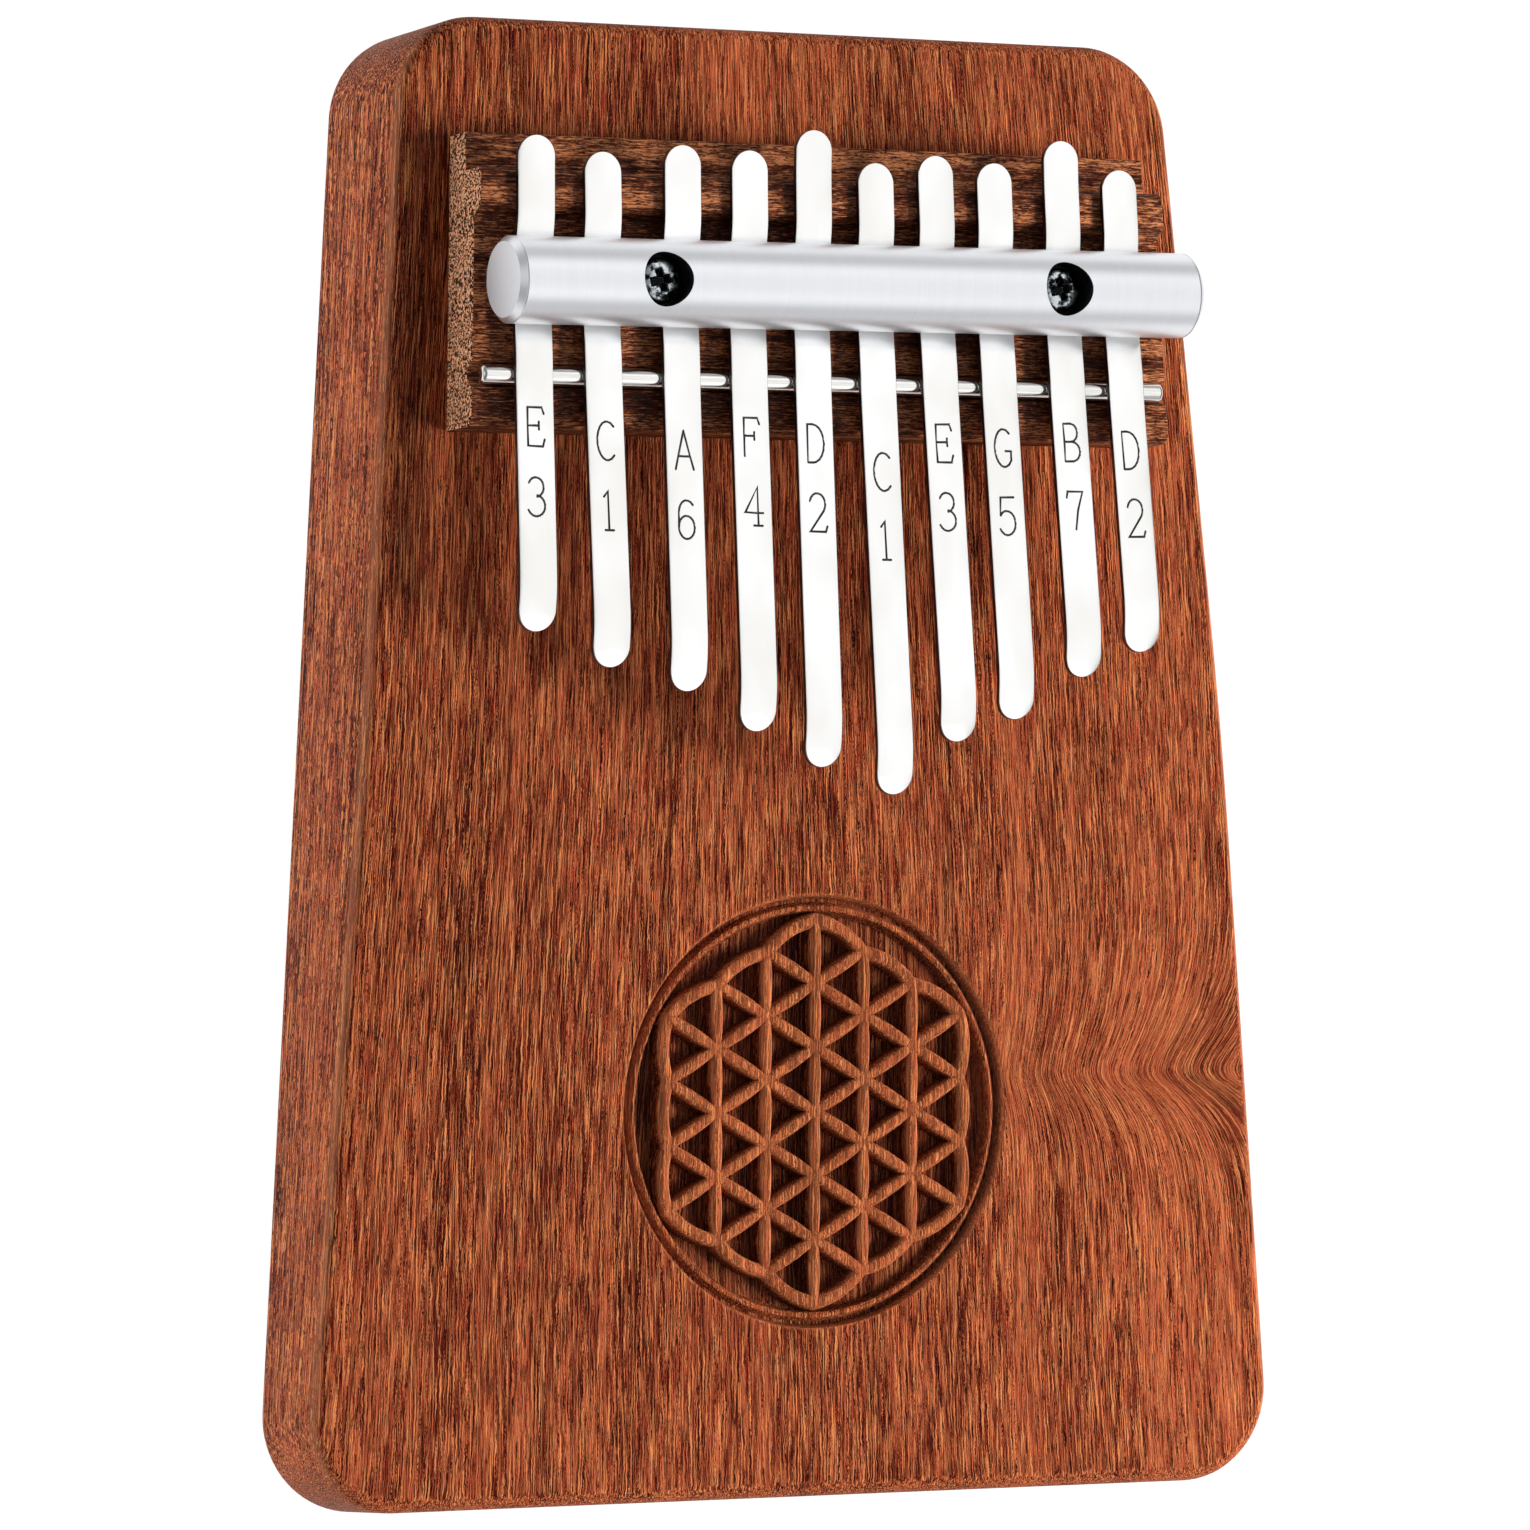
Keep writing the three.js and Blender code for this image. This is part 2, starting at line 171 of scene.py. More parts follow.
def make_lights():
    """Lamps that light the matt wood, panels that shine in the metal, and a weak even light."""
    area_light("key", (0.84, -0.16, 0.56), (0.8, 0.5), 42.5, "colours")
    area_light("left_fill", (-1.0, -0.1, 0.06), (2.0, 0.24), 11.5, "colours")
    area_light("top_panel", (0.46, -0.02, 0.88), (4.0, 1.4), 0.87, "mirrors")
    area_light("tine_end_panel", (0.3, 0.9, 0.45), (1.6, 2.4), 0.3, "mirrors")
    area_light("playing_end_panel", (0.3, -0.9, 0.45), (1.6, 2.4), 0.36, "mirrors")
    area_light("left_panel", (-0.9, 0.1, 0.5), (1.2, 0.7), 0.8, "mirrors")
    world = bpy.data.worlds.new("studio")
    world.use_nodes = True
    background = world.node_tree.nodes["Background"]
    background.inputs["Color"].default_value = (1, 1, 1, 1)
    background.inputs["Strength"].default_value = AMBIENT
    bpy.context.scene.world = world
    bpy.context.scene.view_settings.view_transform = "Standard"
    bpy.context.scene.view_settings.look = "None"


# ---- Materials ----


def linear(red, green, blue):
    """A colour given as 0 to 255 on a screen, as Blender's linear RGBA."""
    def one(value):
        value /= 255
        return value / 12.92 if value <= 0.04045 else ((value + 0.055) / 1.055) ** 2.4
    return (one(red), one(green), one(blue), 1)


class Shader:
    """A material's nodes, made and joined with few words."""

    def __init__(self, name):
        self.material = bpy.data.materials.new(name)
        self.material.use_nodes = True
        self.tree = self.material.node_tree
        self.surface = self.tree.nodes["Principled BSDF"]

    def node(self, kind, values=None, **settings):
        """A node of that kind. values maps its inputs to values or to other nodes' outputs."""
        made = self.tree.nodes.new(kind)
        for key, value in settings.items():
            setattr(made, key, value)
        for key, value in (values or {}).items():
            self.give(made.inputs[key], value)
        return made

    def give(self, socket, value):
        """Sets a socket to a value, or links it to another node's output."""
        if isinstance(value, bpy.types.NodeSocket):
            self.tree.links.new(value, socket)
        else:
            socket.default_value = value

    def set(self, **inputs):
        """Sets the surface's inputs: underscores stand for the spaces in their names."""
        for key, value in inputs.items():
            self.give(self.surface.inputs[key.replace("_", " ")], value)

    def math(self, operation, *values):
        return self.node("ShaderNodeMath", dict(enumerate(values)), operation=operation).outputs[0]

    def weighted(self, *terms):
        """The sum of each value times its weight."""
        total = None
        for value, weight in terms:
            term = self.math("MULTIPLY", value, weight)
            total = term if total is None else self.math("ADD", total, term)
        return total

    def vector(self, operation, first, second):
        return self.node("ShaderNodeVectorMath", {0: first, 1: second}, operation=operation).outputs[0]

    def length(self, vector):
        return self.node("ShaderNodeVectorMath", {0: vector}, operation="LENGTH").outputs["Value"]

    def place(self):
        """The point on the piece in millimetres."""
        return self.vector("MULTIPLY", self.node("ShaderNodeTexCoord").outputs["Object"], (1 / MM,) * 3)

    def split(self, vector):
        return self.node("ShaderNodeSeparateXYZ", {0: vector}).outputs

    def join(self, x, y, z):
        return self.node("ShaderNodeCombineXYZ", {0: x, 1: y, 2: z}).outputs[0]

    def noise(self, place, scale, detail=2, roughness=0.5, offset=0):
        """Smooth noise around 0.5 that varies scale = (x, y, z) times a millimetre."""
        stretched = self.vector("MULTIPLY", place, scale)
        moved = self.vector("ADD", stretched, (offset, 1.7 * offset, 2.3 * offset))
        return self.node(
            "ShaderNodeTexNoise", {"Vector": moved, "Scale": 1, "Detail": detail, "Roughness": roughness}
        ).outputs["Fac"]

    def between(self, value, low, high, to_low=0, to_high=1):
        """value's place from low to high, given out from to_low to to_high."""
        return self.node(
            "ShaderNodeMapRange",
            {"Value": value, "From Min": low, "From Max": high, "To Min": to_low, "To Max": to_high},
        ).outputs["Result"]

    def ramp(self, value, stops):
        """A colour between the (position, colour) stops."""
        made = self.node("ShaderNodeValToRGB", {0: value})
        elements = made.color_ramp.elements
        while len(elements) < len(stops):
            elements.new(0.5)
        for element, (position, colour) in zip(elements, stops):
            element.position = position
            element.color = colour
        return made.outputs["Color"]

    def mix(self, share, first, second):
        """Colour first at share 0 and second at share 1."""
        made = self.node("ShaderNodeMix", data_type="RGBA")
        for socket, value in zip((made.inputs[0], made.inputs[6], made.inputs[7]), (share, first, second)):
            self.give(socket, value)
        return made.outputs[2]

    def bump(self, height, distance, strength):
        """A normal for a relief that is distance millimetres high where height is 1."""
        values = {"Height": height, "Distance": distance * MM, "Strength": strength}
        return self.node("ShaderNodeBump", values).outputs[0]


KNOT_Y = -38.5
KNOT_BEND = 13  # how far the knot pushes the fibres at the body's edge
KNOT_START_X = 22
KNOT_FULL_X = 66
FIBRE_STAGGER = 40


def shaded_front(s, y):
    """The front face's height at y, worked out as front_height does it for the mesh."""
    past_bend = s.math("DIVIDE", s.math("SUBTRACT", BEND_Y, y), BEND_SOFTNESS)
    drop = s.math("LOGARITHM", s.math("ADD", s.math("EXPONENT", past_bend), 1.0), math.e)
    return s.math("SUBTRACT", FRONT_Z, s.math("MULTIPLY", drop, FRONT_SLOPE * BEND_SOFTNESS))


def knot_bend(s, x, y):
    """How far the grain is bent across the body by a knot that is hidden to the right of the rosette."""
    size = s.between(x, KNOT_START_X, KNOT_FULL_X, 0, KNOT_BEND)
    away = s.math("SUBTRACT", y, KNOT_Y)
    rounded = s.math("SQRT", s.math("ADD", s.math("MULTIPLY", away, away), 2.5))
    fading = s.between(away, -2, 2, 4.0, 7.5)
    share = s.math("EXPONENT", s.math("DIVIDE", s.math("SUBTRACT", 1.6, rounded), fading))
    return s.math("MULTIPLY", size, share)


def grain_place(s, place, front):
    """Coordinates whose y runs along the fibres. The tapered sides and the sloping front are straight in
    them, and each fibre is shifted along its length, so that the streaks' ends don't line up."""
    x, y, z = s.split(place)
    width = s.between(y, BODY_LOW.y, BODY_HIGH.y, PLAYING_END_WIDTH, TINE_END_WIDTH)
    straight = s.math("MULTIPLY", s.math("DIVIDE", x, width), (PLAYING_END_WIDTH + TINE_END_WIDTH) / 2)
    level = s.math("MULTIPLY", s.math("DIVIDE", z, front), FRONT_Z)
    wander = s.noise(place, (0.02, 0.012, 0.03), 1, offset=4)
    ripple = s.noise(place, (0.9, 0.8, 0.9), 2, offset=9)
    across = s.weighted((straight, 1), (knot_bend(s, x, y), 1), (wander, 5), (ripple, 0.35))
    stagger = s.noise(s.join(across, 0, level), (1.9, 0, 1.9), 1, offset=71)
    lengthwise = s.weighted((y, 1), (stagger, FIBRE_STAGGER))
    return s.join(across, lengthwise, level)


def body_wood():
    """Sapele: long fine fibres, pores and bright streaks that follow the faces, and broad ribbons. The
    rounded edges and the tops of the carved ribs get painted highlights, and the carved floors painted shade."""
    s = Shader("sapele")
    place = s.place()
    x, y, z = s.split(place)
    front = shaded_front(s, y)
    grain = grain_place(s, place, front)
    ribbons = s.noise(grain, (0.16, 0.003, 0.05), 2, offset=11)
    streaks = s.noise(grain, (1.3, 0.016, 0.9), 2, offset=23)
    fibres = s.noise(grain, (9.0, 0.09, 3.2), 2, 0.8, offset=37)
    specks = s.noise(grain, (8.0, 3.0, 4.5), 1, offset=43)
    pores = s.noise(grain, (8.0, 0.35, 3.4), 1, offset=51)
    flecks = s.noise(grain, (7.4, 0.13, 3.2), 1, offset=67)
    clouds = s.noise(place, (0.03, 0.02, 0.05), 2, offset=83)

    tone = s.weighted((ribbons, 0.8), (streaks, 0.45), (fibres, 2.6), (specks, 1.3), (clouds, 0.3))
    colour = s.ramp(s.between(tone, 2.44, 3.04), [
        (0.0, linear(30, 4, 3)),
        (0.3, linear(80, 19, 10)),
        (0.6, linear(126, 42, 23)),
        (1.0, linear(202, 103, 66)),
    ])
    light_streak = s.weighted((flecks, 1), (specks, 0.35))
    colour = s.mix(s.between(light_streak, 0.73, 0.8, 0, 0.95), colour, linear(226, 140, 84))
    dark_pore = s.weighted((pores, 1), (specks, 0.35))
    pore_here = s.between(dark_pore, 0.62, 0.54, 0, 0.95)
    colour = s.mix(pore_here, colour, linear(24, 4, 3))

    # Painted highlight: the rounded edges, which face sideways and up, are mixed towards a pale colour as if
    # lit.
    facing = s.split(s.node("ShaderNodeTexCoord").outputs["Normal"])
    side_on = s.math("ABSOLUTE", facing[0])
    rounded_edge_highlight = s.math("MULTIPLY", s.between(side_on, 0.45, 0.7), s.between(facing[2], 0.1, 0.5))
    colour = s.mix(s.math("MULTIPLY", rounded_edge_highlight, 0.3), colour, linear(226, 150, 112))

    depth = s.math("SUBTRACT", front, z)
    from_rosette = s.vector("SUBTRACT", s.join(x, y, 0), (*ROSETTE_CENTRE, 0))
    in_rosette = s.between(s.length(from_rosette), ROSETTE_RADIUS + 0.4, ROSETTE_RADIUS)
    # Painted highlight: in the rosette, whatever lies less than about a millimetre under the front (rim,
    # bead, rib tops) is mixed paler.
    highlight_share = s.math("MULTIPLY", s.math("MULTIPLY", in_rosette, s.between(depth, 1.0, 0.6)), 0.16)
    colour = s.mix(highlight_share, colour, linear(236, 140, 88))
    # Painted shade: deep in the rosette, the lower walls and floors of the carving are mixed towards near
    # black.
    low_down = s.math("MULTIPLY", s.between(depth, 0.9, 1.8), s.between(depth, 3.0, 2.6))
    recess_shade = s.math("MULTIPLY", s.math("MULTIPLY", in_rosette, low_down), 0.5)
    colour = s.mix(recess_shade, colour, linear(34, 9, 6))

    relief = s.math("SUBTRACT", s.math("MULTIPLY", fibres, 0.4), pore_here)
    s.set(
        Base_Color=colour,
        Roughness=s.between(fibres, 0.3, 0.7, 0.62, 0.46),
        Specular_IOR_Level=0.05,
        Normal=s.bump(relief, 0.06, 0.6),
    )
    return s.material


def saddle_wood():
    """A darker wood with its grain across the body, and speckled end grain on its two end faces."""
    s = Shader("saddle_wood")
    place = s.place()
    fibres = s.noise(place, (0.5, 5.0, 5.0), 3, 0.75, offset=5)
    bands = s.noise(place, (0.02, 0.5, 0.5), 2, offset=17)
    pores = s.noise(place, (1.3, 6.5, 6.5), 1, offset=29)
    tone = s.weighted((fibres, 1.6), (bands, 0.7))
    long_grain = s.ramp(s.between(tone, 0.93, 1.37), [
        (0.0, linear(34, 11, 6)),
        (0.5, linear(98, 47, 28)),
        (1.0, linear(206, 132, 86)),
    ])
    pore_here = s.between(pores, 0.44, 0.36, 0, 0.85)
    long_grain = s.mix(pore_here, long_grain, linear(24, 7, 4))

    cells = s.noise(place, (2.9, 2.9, 2.9), 2, 0.7, offset=41)
    end_grain = s.ramp(s.between(cells, 0.41, 0.59), [
        (0.0, linear(20, 8, 4)),
        (0.42, linear(54, 26, 15)),
        (0.52, linear(184, 124, 91)),
        (1.0, linear(236, 178, 136)),
    ])
    normal_x = s.split(s.node("ShaderNodeTexCoord").outputs["Normal"])[0]
    end_here = s.between(s.math("ABSOLUTE", normal_x), 0.6, 0.8)
    s.set(
        Base_Color=s.mix(end_here, long_grain, end_grain),
        Roughness=0.62,
        Specular_IOR_Level=0.12,
        Normal=s.bump(s.math("SUBTRACT", fibres, pore_here), 0.06, 0.6),
    )
    return s.material


def spring_steel():
    """Plated strip, polished along its length, with faint smudges."""
    s = Shader("spring_steel")
    place = s.place()
    scratches = s.noise(place, (9, 0.12, 9), 2, offset=3)
    smudges = s.noise(place, (0.12, 0.07, 0.12), 2, offset=13)
    s.set(
        Base_Color=s.mix(s.between(smudges, 0.35, 0.65), linear(250, 250, 250), linear(240, 239, 236)),
        Metallic=1.0,
        Roughness=s.between(smudges, 0.3, 0.7, 0.12, 0.2),
        Normal=s.bump(scratches, 0.004, 0.35),
    )
    return s.material


def sheared_steel():
    """The duller cut sides of a tine, torn a little along their length."""
    s = Shader("sheared_steel")
    tear = s.noise(s.place(), (3.0, 0.5, 7.0), 2, offset=33)
    s.set(
        Base_Color=s.mix(s.between(tear, 0.35, 0.65), linear(70, 68, 68), linear(128, 126, 126)),
        Metallic=1.0,
        Roughness=0.38,
    )
    return s.material


def stamped_steel():
    """The dull floor of a stamped mark, painted dark as shade in the groove."""
    s = Shader("stamped_mark")
    groove_shade_noise = s.noise(s.place(), (1.2, 1.2, 1.2), 2, offset=7)
    s.set(
        Base_Color=s.mix(s.between(groove_shade_noise, 0.3, 0.7), linear(26, 26, 28), linear(62, 62, 64)),
        Metallic=0.3,
        Roughness=0.55,
    )
    return s.material


def wire_steel():
    """Polished round wire."""
    s = Shader("wire_steel")
    marks = s.noise(s.place(), (0.4, 6, 6), 2, offset=19)
    s.set(
        Base_Color=s.mix(s.between(marks, 0.3, 0.7), linear(236, 234, 230), linear(222, 220, 216)),
        Metallic=1.0,
        Roughness=0.14,
        Normal=s.bump(marks, 0.004, 0.3),
    )
    return s.material


def satin_aluminium():
    """Turned and blasted aluminium: even and soft, with the finest rings across it."""
    s = Shader("satin_aluminium")
    place = s.place()
    grit = s.noise(place, (7, 7, 7), 2, offset=9)
    rings = s.noise(place, (3.2, 0.05, 0.05), 2, offset=21)
    s.set(
        Base_Color=s.mix(s.between(rings, 0.3, 0.7), linear(243, 245, 249), linear(240, 242, 246)),
        Metallic=1.0,
        Roughness=s.between(grit, 0.3, 0.7, 0.37, 0.44),
        Normal=s.bump(s.math("ADD", grit, s.math("MULTIPLY", rings, 0.12)), 0.004, 0.25),
    )
    return s.material


def shaded_bore_aluminium():
    """The dull wall that the drill left, painted nearly black as shade."""
    s = Shader("shaded_bore_aluminium")
    bore_shade_noise = s.noise(s.place(), (0.9, 0.9, 2.5), 2, offset=31)
    s.set(
        Base_Color=s.mix(s.between(bore_shade_noise, 0.35, 0.65), linear(10, 11, 12), linear(44, 46, 48)),
        Metallic=0.6,
        Roughness=0.5,
    )
    return s.material


def blackened_steel():
    """Black-plated screws, with pale patches painted near the tops of their heads as highlights."""
    s = Shader("blackened_steel")
    place = s.place()
    head_top = max(top for _, _, _, top in screw_places())
    wear_and_highlight = s.noise(place, (1.1, 1.1, 1.1), 3, 0.6, offset=15)
    near_top = s.between(s.split(place)[2], head_top - 0.6, head_top - 0.35)
    # Painted highlight: pale patches on the top of each head.
    highlight_share = s.math("MULTIPLY", s.between(wear_and_highlight, 0.44, 0.56), near_top)
    s.set(
        Base_Color=s.mix(highlight_share, linear(12, 14, 16), linear(204, 212, 216)),
        Metallic=0.95,
        Roughness=s.between(wear_and_highlight, 0.3, 0.7, 0.2, 0.3),
        Normal=s.bump(wear_and_highlight, 0.02, 0.4),
    )
    return s.material


def edge_highlight_steel():
    """Bright bevelled edges of the screws, painted near white as highlights."""
    s = Shader("edge_highlight_steel")
    highlight_noise = s.noise(s.place(), (2.2, 2.2, 2.2), 2, offset=27)
    s.set(
        Base_Color=s.mix(s.between(highlight_noise, 0.32, 0.46), linear(110, 114, 118), linear(248, 249, 250)),
        Metallic=1.0,
        Roughness=0.4,
    )
    return s.material


def pale_floor():
    """A white table that is nearly evenly bright, so that the object's shadow on it stays faint."""
    s = Shader("pale_floor")
    speck = s.noise(s.place(), (0.05, 0.05, 0.05), 2)
    s.set(
        Base_Color=s.mix(speck, linear(66, 66, 66), linear(72, 72, 72)),
        Roughness=0.9,
        Specular_IOR_Level=0.0,
        Emission_Color=(1, 1, 1, 1),
        Emission_Strength=1.0,
    )
    return s.material


# ---- Mesh helpers ----


def weld(mesh, distance, face_out=False):
    """Merges the mesh's vertices that are closer than distance, and can turn its faces outwards."""
    work = bmesh.new()
    work.from_mesh(mesh)
    bmesh.ops.remove_doubles(work, verts=work.verts, dist=distance)
    if face_out:
        bmesh.ops.recalc_face_normals(work, faces=work.faces)
    work.to_mesh(mesh)
    work.free()


class Surface:
    """Points in millimetres and the faces between them."""

    def __init__(self):
        self.points = []
        self.faces = []
        self.marks = []
        self.smooth = []

    def loop(self, points):
        """Adds points and returns their numbers."""
        start = len(self.points)
        self.points.extend(points)
        return list(range(start, len(self.points)))

    def face(self, *corners, mark=0, smooth=True):
        self.faces.append(corners)
        self.marks.append(mark)
        self.smooth.append(smooth)

    def bridge(self, first, second, mark=0):
        """Joins two loops of the same length, side by side."""
        count = len(first)
        for i in range(count):
            j = (i + 1) % count
            self.face(first[i], first[j], second[j], second[i], mark=mark)

    def bridges(self, loops):
        """Joins each loop to the next."""
        for first, second in zip(loops, loops[1:]):
            self.bridge(first, second)

    def fan(self, loop, point):
        """Closes a loop with triangles that meet at point."""
        tip = self.loop([point])[0]
        for i, corner in enumerate(loop):
            self.face(corner, loop[(i + 1) % len(loop)], tip)

    def zip(self, first, second, centre):
        """Joins two loops round centre that have different numbers of points."""
        def turn(index):
            point = self.points[index]
            return math.atan2(point[1] - centre[1], point[0] - centre[0]) % (2 * math.pi)
        inner = sorted(first, key=turn)
        outer = sorted(second, key=turn)
        i = j = 0
        while i < len(inner) or j < len(outer):
            next_inner = turn(inner[i + 1]) if i + 1 < len(inner) else 2 * math.pi + turn(inner[0])
            next_outer = turn(outer[j + 1]) if j + 1 < len(outer) else 2 * math.pi + turn(outer[0])
            here = (inner[i % len(inner)], outer[j % len(outer)])
            if j >= len(outer) or (i < len(inner) and next_inner <= next_outer):
                i += 1
                self.face(*here, inner[i % len(inner)])
            else:
                j += 1
                self.face(*here, outer[j % len(outer)])

    def piece(self, name, *materials, place=None, sharp=35):
        """A smooth-shaded object of these faces, with its normals facing out."""
        mesh = bpy.data.meshes.new(name)
        mesh.from_pydata([Vector(p) for p in self.points], [], self.faces)
        mesh.polygons.foreach_set("material_index", self.marks)
        mesh.polygons.foreach_set("use_smooth", self.smooth)
        weld(mesh, WELD, face_out=True)
        mesh.transform(Matrix.Scale(MM, 4) @ (place or Matrix.Identity(4)))
        mesh.set_sharp_from_angle(angle=math.radians(sharp))
        for material in materials:
            mesh.materials.append(material)
        made = bpy.data.objects.new(name, mesh)
        bpy.context.scene.collection.objects.link(made)
        return made


def lathe(profile, segments=96, axis="Z"):
    """A closed turned surface from (radius, along) pairs that start and end on the axis."""
    def at(radius, along, turn):
        across, up = radius * math.cos(turn), radius * math.sin(turn)
        return (along, across, up) if axis == "X" else (across, up, along)
    surface = Surface()
    turns = [2 * math.pi * i / segments for i in range(segments)]
    loops = [surface.loop([at(radius, along, t) for t in turns]) for radius, along in profile[1:-1]]
    surface.bridges(loops)
    surface.fan(loops[0], at(0, profile[0][1], 0))
    surface.fan(loops[-1], at(0, profile[-1][1], 0))
    return surface


def finished(piece, cutters=(), bevel=0, segments=2, sharp=35, edge_mark=-1):
    """Cuts the cutters out of the piece, rounds its edges sharper than sharp degrees and keeps the result
    as its mesh. Rounded edges get the material numbered edge_mark, or that of the faces beside them."""
    for cutter in cutters:
        modifier = piece.modifiers.new("cut", "BOOLEAN")
        modifier.operation = "DIFFERENCE"
        modifier.solver = "EXACT"
        modifier.object = cutter
    if bevel:
        modifier = piece.modifiers.new("edge", "BEVEL")
        modifier.width = bevel * MM
        modifier.segments = segments
        modifier.limit_method = "ANGLE"
        modifier.angle_limit = math.radians(sharp)
        modifier.use_clamp_overlap = True
        modifier.material = edge_mark
    bpy.context.view_layer.update()
    evaluated = piece.evaluated_get(bpy.context.evaluated_depsgraph_get())
    mesh = bpy.data.meshes.new_from_object(evaluated)
    piece.modifiers.clear()
    piece.data = mesh
    weld(mesh, WELD * MM)
    mesh.shade_smooth()
    mesh.set_sharp_from_angle(angle=math.radians(sharp))
    for cutter in cutters:
        bpy.data.objects.remove(cutter)
    return piece


def drill(radius, x, y, bottom, top, segments=48, materials=()):
    """A cutter for a round hole along Z, from bottom to top. Its wall gets the last of the materials."""
    profile = [(0, bottom), (radius, bottom), (radius, top), (0, top)]
    hole = lathe(profile, segments)
    hole.marks = [max(0, len(materials) - 1)] * len(hole.faces)
    return hole.piece("drill", *materials, place=Matrix.Translation((x, y, 0)))


def fixed_piece(piece, node):
    """The piece stands for a CAD node of the fixed body."""
    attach(piece, "root")
    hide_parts(node)


# ---- Body ----


def front_height(y):
    """The front face: flat at the tine end, then sloping down to the playing end."""
    drop = BEND_SOFTNESS * math.log1p(math.exp((BEND_Y - y) / BEND_SOFTNESS))
    return FRONT_Z - FRONT_SLOPE * drop


def along(first, last, step):
    """Points strictly between first and last, about step apart."""
    count = max(1, round((last - first).length / step))
    return [first.lerp(last, i / count) for i in range(1, count)]


def rounding(radius, steps):
    """(inset, lift) pairs over a quarter-round edge, from the flat face to the upright side."""
    turns = [math.pi / 2 * i / steps for i in range(steps + 1)]
    return [(radius * (1 - math.sin(t)), radius * (1 - math.cos(t))) for t in turns]


def body_outline():
    """(point, outward direction) pairs round the body, anticlockwise from the middle of the playing end."""
    half = BODY_LENGTH / 2
    taper = math.atan((PLAYING_END_WIDTH - TINE_END_WIDTH) / 2 / BODY_LENGTH)
    corner_steps = 22
    step = 1.2

    def corner(y):
        half_width = (PLAYING_END_WIDTH + TINE_END_WIDTH) / 4 - math.tan(taper) * y
        return Vector((half_width - CORNER_RADIUS / math.cos(taper), y))

    def arc(centre, start, end):
        turns = [start + (end - start) * i / corner_steps for i in range(corner_steps + 1)]
        normals = [Vector((math.cos(t), math.sin(t))) for t in turns]
        return [(centre + n * CORNER_RADIUS, n) for n in normals]

    low = arc(corner(CORNER_RADIUS - half), -math.pi / 2, taper)
    high = arc(corner(half - CORNER_RADIUS), taper, math.pi / 2)
    down, up, side = Vector((0, -1)), Vector((0, 1)), low[-1][1]
    right = [(p, down) for p in along(Vector((0, -half)), low[0][0], step)]
    right += low
    right += [(p, side) for p in along(low[-1][0], high[0][0], step)]
    right += high
    right += [(p, up) for p in along(high[-1][0], Vector((0, half)), step)]
    mirror = Vector((-1, 1))
    left = [(p * mirror, n * mirror) for p, n in reversed(right)]
    return [(Vector((0, -half)), down), *right, (Vector((0, half)), up), *left]


# (radius, depth under the front) from the face inwards: rounded rim, steep wall, bead and floor.
ROSETTE_FLOOR = 2.2
ROSETTE_PROFILE = [
    (ROSETTE_RADIUS + 0.35, 0),
    (ROSETTE_RADIUS + 0.15, 0.03),
    (ROSETTE_RADIUS, 0.12),
    (ROSETTE_RADIUS - 0.08, 0.3),
    (ROSETTE_RADIUS - 0.35, 1.4),
    (ROSETTE_RADIUS - 0.5, 1.6),
    (ROSETTE_RADIUS - 0.8, 1.6),
    (ROSETTE_RADIUS - 1.05, 1.2),
    (ROSETTE_RADIUS - 1.3, 0.85),
    (ROSETTE_RADIUS - 1.6, 0.78),
    (ROSETTE_RADIUS - 1.9, 0.95),
    (ROSETTE_RADIUS - 2.1, 1.5),
    (ROSETTE_RADIUS - 2.25, 2.0),
    (ROSETTE_RADIUS - 2.5, ROSETTE_FLOOR),
]

# (distance from a rib's middle, depth under the front): rounded top, steep wall, floor.
RIB_PROFILE = [
    (0, 0.1),
    (0.24, 0.13),
    (0.44, 0.22),
    (0.6, 0.38),
    (0.7, 0.65),
    (0.75, 1.1),
    (0.8, 1.85),
    (0.88, 2.12),
    (1.02, ROSETTE_FLOOR),
]
RIB_BULGE = 0.14  # how much wider each side of a rib is in its middle
OUTER_BULGE = 0.55  # how far the outer ribs bow outwards
NODE_DIP = 0.2  # how much lower the ribs' tops are where they meet
NODE_DIP_REACH = 0.9
RIB_STEPS = 12


def polar(centre, radius, turn):
    """The point at that distance and angle from centre."""
    return centre + radius * Vector((math.cos(turn), math.sin(turn)))


def lattice_cells():
    """The lattice's triangles as (corners, whether the side opposite corner 0 is on the outside)."""
    step_a = polar(Vector((0, 0)), NODE_SPACING, math.pi / 6)
    step_b = polar(Vector((0, 0)), NODE_SPACING, math.pi / 2)

    def ring(i, j):
        return max(abs(i), abs(j), abs(i + j))

    cells = []
    reach = range(-NODES_PER_SIDE, NODES_PER_SIDE + 1)
    for i in reach:
        for j in reach:
            for second, third in (((1, 0), (0, 1)), ((0, 1), (-1, 1))):
                keys = [(i, j), (i + second[0], j + second[1]), (i + third[0], j + third[1])]
                rings = [ring(*key) for key in keys]
                if max(rings) > NODES_PER_SIDE:
                    continue
                corners = [step_a * a + step_b * b for a, b in keys]
                inner = rings.index(min(rings))
                outside = rings.count(NODES_PER_SIDE) == 2
                if outside:
                    corners = corners[inner:] + corners[:inner]
                cells.append((corners, outside))
    return cells


def bowed_side(first, last, swell, bow):
    """Points from first up to last: swell is added to the left of the way and bow to its right."""
    run = last - first
    left = Vector((-run.y, run.x)).normalized()
    points = []
    for step in range(RIB_STEPS):
        part = step / RIB_STEPS
        out = swell * math.sin(math.pi * part) - bow * 4 * part * (1 - part)
        points.append(first + run * part + left * out)
    return points


def rib_swell(reach):
    """How much wider than at its ends a rib is in its middle, at that distance from its middle line."""
    return RIB_BULGE * min(1, reach / 0.5)


